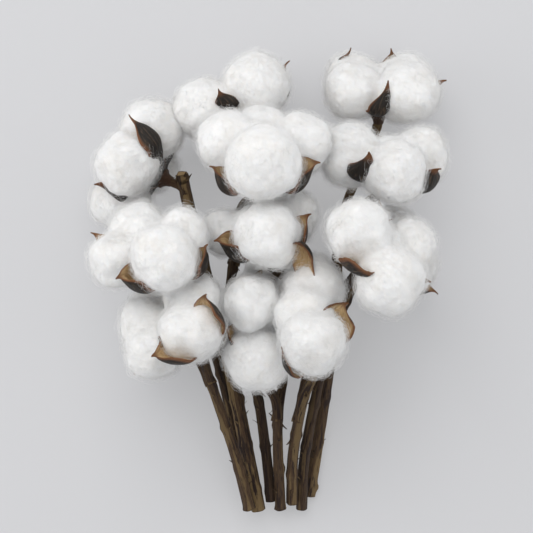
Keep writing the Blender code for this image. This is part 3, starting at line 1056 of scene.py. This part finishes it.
def makeFlake(at, climb, away, size, seed):
    # one curled strip with two faces and a wall between them
    across = climb.cross(away).normalized()
    rows, columns = flake["rows"], flake["columns"]
    points, marks, grain = [], [], []
    for face in (0, 1):
        for row in range(rows):
            share = row / (rows - 1)
            lift = size * (flake["curl"] * share ** 2 - flake["sunk"]) + face * flake["wall"]
            uneven = 1 + 0.3 * noise.noise(Vector((share * 5, seed, 0)))
            width = size * flake["halfWidth"] * (1 - 0.75 * share ** 2) * uneven
            for column in range(columns):
                side = 2 * column / (columns - 1) - 1
                cup = flake["cup"] * size * side * side * (1 - share)
                points.append(at + climb * size * flake["length"] * share + away * (lift - cup)
                              + across * side * width)
                marks.append((0.0, 0.0, 0.0))
                grain.append((side * 0.4 + seed, share * 0.8, face))
    loop = rows * columns
    faces = gridFaces(rows, columns, 0, flip=True) + gridFaces(rows, columns, loop)
    edge = list(range(columns)) + [row * columns + columns - 1 for row in range(1, rows)]
    edge += [(rows - 1) * columns + column for column in range(columns - 2, -1, -1)]
    edge += [row * columns for row in range(rows - 2, 0, -1)]
    for one, two in zip(edge, edge[1:] + edge[:1]):
        faces.append((one, two, two + loop, one + loop))
    return points, faces, marks, grain


def makeStem(number, runs):
    whole = [], [], [], []
    for index, run in enumerate(runs):
        join(whole, makeRun(run, number * 1.7 + index, stemShade[number - 1], index > 0))
    draw = random.Random(number)
    main = runs[0]
    route = runRoute(main)[0]
    for index in range(flake["each"] + (flake["atBreak"] if main.boll is None else 0)):
        broken = index >= flake["each"]
        share = draw.uniform(*flake["alongBreak" if broken else "along"])
        place = int(share * (len(route) - 1))
        climb = (route[min(place + 1, len(route) - 1)] - route[place - 1]).normalized()
        climb *= 1 if draw.random() < flake["forward"] or broken else -1
        turn = draw.uniform(-flake["spread"], flake["spread"])
        away = Vector((math.sin(turn), 0.0, math.cos(turn))) - climb * climb.z * math.cos(turn)
        away.normalize()
        away = (away - climb * away.dot(climb)).normalized()
        radius = main.startRadius + (main.endRadius - main.startRadius) * share
        size = draw.uniform(*flake["size"]) * (flake["breakSize"] if broken else 1.0)
        join(whole, makeFlake(route[place] + away * radius * 0.96, climb, away, size, number + index * 1.3))
    return newShell(f"twig_{number}", whole, stemMaterial, "cut", Matrix.Identity(4), stem["pressedUnder"])


for number, boll in enumerate(bolls, start=1):
    lintPiece = makeLint(number, boll)
    fuzzPiece = makeFuzz(number, boll, lintPiece)
    huskPiece = makeHusk(number, boll)
    for piece, slotName in ((lintPiece, "cotton"), (fuzzPiece, "cotton"), (huskPiece, "husk")):
        piece.data.transform(bollMatrix(boll))
        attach(piece, "root")
    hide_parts(f"cotton_{number:02d}")
    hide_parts(f"husk_{number:02d}")
print("bolls made")

for number, runs in enumerate(stems, start=1):
    piece = makeStem(number, runs)
    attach(piece, "root")
    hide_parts(f"stem_{number}")
print("stems made")

studio = {
    "floorSize": 6.0,
    "floor": (0.36, 0.36, 0.37),
    "floorRoughness": 0.9,
    "glow": (0.99, 0.99, 1.0),
    "glowStrength": 0.28,     # a lit table, which keeps the shadows soft
    "world": (0.95, 0.97, 1.0),
    "worldStrength": 0.60,
    "lightsAim": (0.0, 0.0, 0.05),
    "cameraHeight": 1.16,
    "viewWidth": 0.293,
    "viewDepth": 0.06,        # the height at which the view is that wide
    "sensorWidth": 36.0,
    "aim": (-0.0018, 0.0095),
}

# soft square lights: place, size, power, color
lights = {
    "overheadLight": ((-0.2, 0.75, 1.5), 1.2, 12.5, (1.0, 0.99, 0.98)),
    "sideLight": ((-1.0, 0.1, 0.5), 0.8, 3.0, (1.0, 0.99, 0.97)),
    "farSideLight": ((1.0, 0.0, 0.5), 0.8, 1.5, (1.0, 0.99, 0.97)),
}

bpy.ops.mesh.primitive_plane_add(size=studio["floorSize"], location=(0, 0, 0))
floor = bpy.context.object
floor.name = "floor"
floorMaterial, _, floorShader = newMaterial("paleFloor")
setInputs(floorShader, Base_Color=studio["floor"], Roughness=studio["floorRoughness"],
          Emission_Color=studio["glow"], Emission_Strength=studio["glowStrength"])
floor.data.materials.append(floorMaterial)

world = bpy.data.worlds.new("softStudio")
bpy.context.scene.world = world
world.use_nodes = True
setInputs(world.node_tree.nodes["Background"], Color=studio["world"], Strength=studio["worldStrength"])

for name, (place, size, power, color) in lights.items():
    lamp = bpy.data.lights.new(name, "AREA")
    lamp.shape = "SQUARE"
    lamp.size = size
    lamp.energy = power
    lamp.color = color
    light = addObject(name, lamp)
    light.location = place
    light.rotation_euler = (Vector(studio["lightsAim"]) - Vector(place)).to_track_quat("-Z", "Y").to_euler()

camera = addObject("camera", bpy.data.cameras.new("camera"))
camera.location = (*studio["aim"], studio["cameraHeight"])
camera.data.sensor_width = studio["sensorWidth"]
away = studio["cameraHeight"] - studio["viewDepth"]
camera.data.lens = studio["sensorWidth"] * away / studio["viewWidth"]
bpy.context.scene.camera = camera
bpy.context.scene.view_settings.view_transform = "Standard"
print("studio made")
